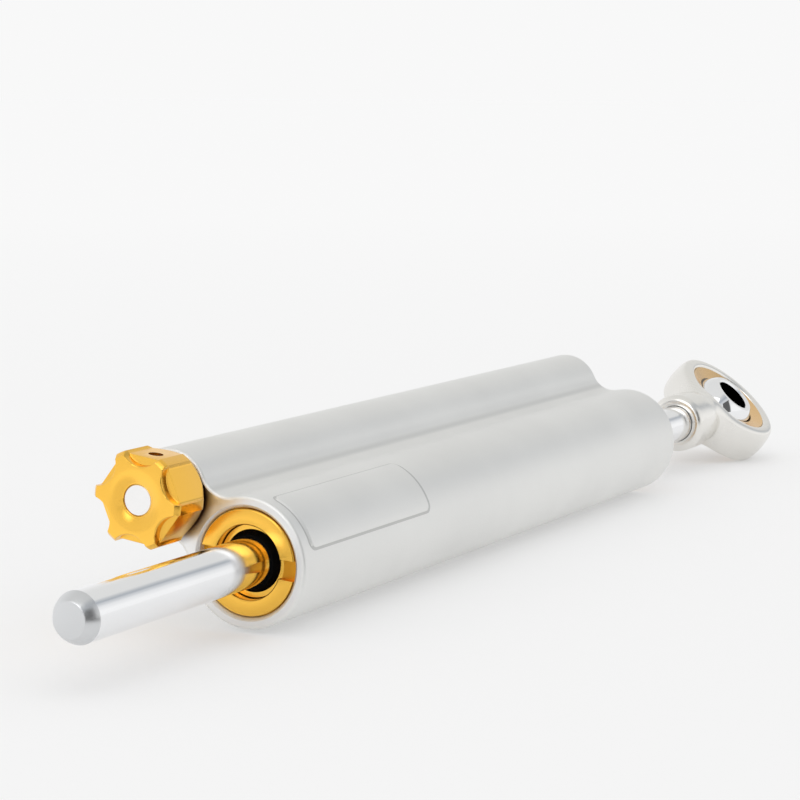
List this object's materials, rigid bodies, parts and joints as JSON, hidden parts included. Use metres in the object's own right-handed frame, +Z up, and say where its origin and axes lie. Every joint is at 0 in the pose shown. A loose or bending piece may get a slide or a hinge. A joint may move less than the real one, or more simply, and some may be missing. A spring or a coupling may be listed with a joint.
{
  "type": "motorcycle steering damper",
  "caption": "Linear hydraulic steering damper: twin-tube alloy body, sliding chrome through rod with a spherical rod end, and a lobed knob that turns a barrel valve in the side tube.",
  "frame": {"origin": "on the axis of the main tube, halfway along the body, at the middle of the clamp seat", "axes": "+X along the rod towards the rod end, +Z up as the part lies in the picture, with the side tube 36 degrees above +Y"},
  "size_m": [0.3473, 0.0437, 0.0373],
  "materials": {
    "body_silver": "satin silver anodised",
    "gold_anodised": "satin gold anodised",
    "alloy_plain": "turned",
    "spindle_steel": "ground",
    "rod_chrome": "hard chrome, polished",
    "rod_end_nickel": "satin nickel plated",
    "race_brass": "machined",
    "ball_chrome": "polished",
    "small_steel": "plain",
    "bronze": "plain",
    "black_rubber": "matte",
    "slide_plastic": "filled low-friction plastic"
  },
  "bodies": {
    "damper": {"damper_body": "body_silver", "gland_nut_front": "gold_anodised", "gland_nut_rear": "gold_anodised", "seal_carrier_front": "gold_anodised", "seal_carrier_rear": "gold_anodised", "wiper_front": "black_rubber", "wiper_rear": "black_rubber", "rod_seal_front": "black_rubber", "rod_seal_rear": "black_rubber", "guide_bush_front": "bronze", "guide_bush_rear": "bronze", "carrier_ring_front": "black_rubber", "carrier_ring_rear": "black_rubber", "adjuster_gland": "alloy_plain", "gland_ring": "black_rubber", "spindle_ring": "black_rubber", "spindle_retainer": "alloy_plain", "valve_sleeve": "bronze", "click_ball": "small_steel", "click_spring": "small_steel", "compensator_spring": "small_steel", "end_plug": "alloy_plain", "plug_ring": "black_rubber"},
    "piston_seal": {"piston_band": "slide_plastic"},
    "rod": {"piston_rod": "rod_chrome", "piston": "alloy_plain", "piston_clip_front": "small_steel", "piston_clip_rear": "small_steel", "rod_end_housing": "rod_end_nickel", "rod_end_race": "race_brass"},
    "ball_liner": {"rod_end_liner": "slide_plastic"},
    "ball": {"rod_end_ball": "ball_chrome"},
    "knob": {"adjuster_knob": "gold_anodised", "knob_screw": "small_steel", "adjuster_spindle": "spindle_steel", "valve_barrel": "small_steel"},
    "separator": {"separator_piston": "alloy_plain", "separator_band": "black_rubber"}
  },
  "joints": [
    {"name": "rod_slide", "type": "slide", "parent": "damper", "child": "piston_seal", "axis": [1, 0, 0], "range_m": [-0.033, 0.052]},
    {"name": "rod_spin", "type": "hinge", "parent": "piston_seal", "child": "rod", "pos_m": [0, 0, 0], "axis": [1, 0, 0], "continuous": true},
    {"name": "ball_tilt", "type": "hinge", "parent": "rod", "child": "ball_liner", "pos_m": [0.1695, 0, 0], "axis": [0, 0.7071, 0.7071], "range_deg": [-9, 9]},
    {"name": "ball_spin", "type": "hinge", "parent": "ball_liner", "child": "ball", "pos_m": [0.1695, 0, 0], "axis": [0, -0.7071, 0.7071], "continuous": true},
    {"name": "knob_turn", "type": "hinge", "parent": "damper", "child": "knob", "pos_m": [-0.1, 0.0178, 0.01293], "axis": [1, 0, 0], "range_deg": [-150, 150]},
    {"name": "separator_slide", "type": "slide", "parent": "damper", "child": "separator", "axis": [1, 0, 0], "range_m": [-0.004, 0.006], "stiffness_N_per_m": 400, "deforming": ["compensator_spring"]}
  ]
}
